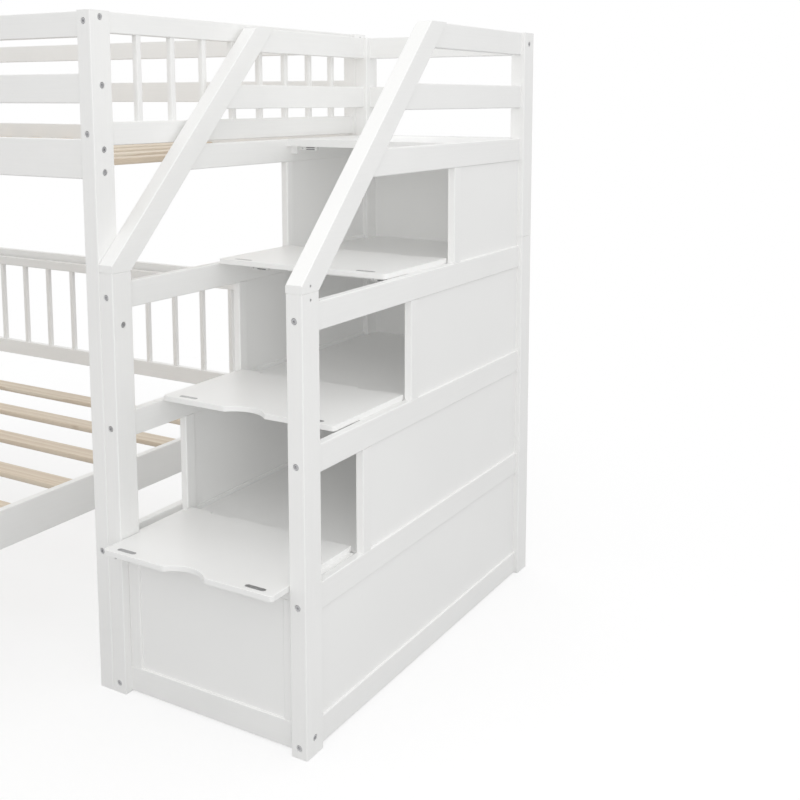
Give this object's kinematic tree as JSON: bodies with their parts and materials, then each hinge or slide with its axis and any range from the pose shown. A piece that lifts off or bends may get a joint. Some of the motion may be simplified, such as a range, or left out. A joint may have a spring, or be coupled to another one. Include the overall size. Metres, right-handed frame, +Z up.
{
  "type": "bunk bed with stairs",
  "caption": "L-shaped bunk bed: a slatted upper bed, a wider lower bed set across it, and a storage staircase whose treads lift as lids, with sloping handrails and guard rails.",
  "frame": {"origin": "on the floor, at the middle of the whole footprint", "axes": "+X along the upper bed towards the stairs, +Y to the back, +Z up"},
  "size_m": [2.531, 2.0244, 1.544],
  "materials": {
    "white_paint": "satin white paint",
    "pine": "planed bare pine",
    "steel": "zinc plated",
    "catch": "matte"
  },
  "bodies": {
    "frame": {"assembly_bolts": "steel", "back_bed_rails": "white_paint", "back_guard_rails": "white_paint", "back_left_bed_post": "white_paint", "back_right_bed_post": "white_paint", "box_floor": "white_paint", "fixed_hinge_leaves": "steel", "footboard_rail": "white_paint", "front_bed_rails": "white_paint", "front_left_bed_post": "white_paint", "front_panel": "white_paint", "front_right_bed_post": "white_paint", "front_stiles": "white_paint", "guard_mid_posts": "white_paint", "headboard_rails": "white_paint", "headboard_spindles": "white_paint", "hinge_pins": "steel", "hinge_rails": "white_paint", "landing": "white_paint", "landing_catches": "catch", "left_end_rails": "white_paint", "left_end_spindles": "white_paint", "left_guard_rails": "white_paint", "left_handrail": "white_paint", "left_panels": "white_paint", "left_side_rails": "white_paint", "left_stiles": "white_paint", "lower_bed_posts": "white_paint", "lower_cubby_floor": "white_paint", "lower_side_rails": "white_paint", "lower_slats": "pine", "middle_cubby_floor": "white_paint", "right_end_rails": "white_paint", "right_end_spindles": "white_paint", "right_guard_rails": "white_paint", "right_handrail": "white_paint", "right_panels": "white_paint", "right_side_rails": "white_paint", "right_stiles": "white_paint", "slat_cleats": "pine", "stair_back_panel": "white_paint", "stair_cleats": "white_paint", "stair_cross_rails": "white_paint", "stair_front_left_post": "white_paint", "stair_front_right_post": "white_paint", "stair_rear_lower_posts": "white_paint", "stair_rear_upper_posts": "white_paint", "upper_cubby_floor": "white_paint", "upper_slats": "pine"},
    "lid_1": {"first_tread_lid": "white_paint", "first_lid_plates": "steel", "first_lid_hinge_leaves": "steel"},
    "lid_2": {"second_tread_lid": "white_paint", "second_lid_plates": "steel", "second_lid_hinge_leaves": "steel", "second_lid_catches": "catch"},
    "lid_3": {"third_tread_lid": "white_paint", "third_lid_plates": "steel", "third_lid_hinge_leaves": "steel", "third_lid_catches": "catch"}
  },
  "joints": [
    {"name": "lid_1_lift", "type": "hinge", "parent": "frame", "child": "lid_1", "pos_m": [0.9925, 0.14025, 0.3626], "axis": [-1, 0, 0], "range_deg": [0, 88]},
    {"name": "lid_2_lift", "type": "hinge", "parent": "frame", "child": "lid_2", "pos_m": [0.9925, 0.35225, 0.6589], "axis": [-1, 0, 0], "range_deg": [0, 88]},
    {"name": "lid_3_lift", "type": "hinge", "parent": "frame", "child": "lid_3", "pos_m": [0.9925, 0.56425, 0.9552], "axis": [-1, 0, 0], "range_deg": [0, 88]}
  ]
}
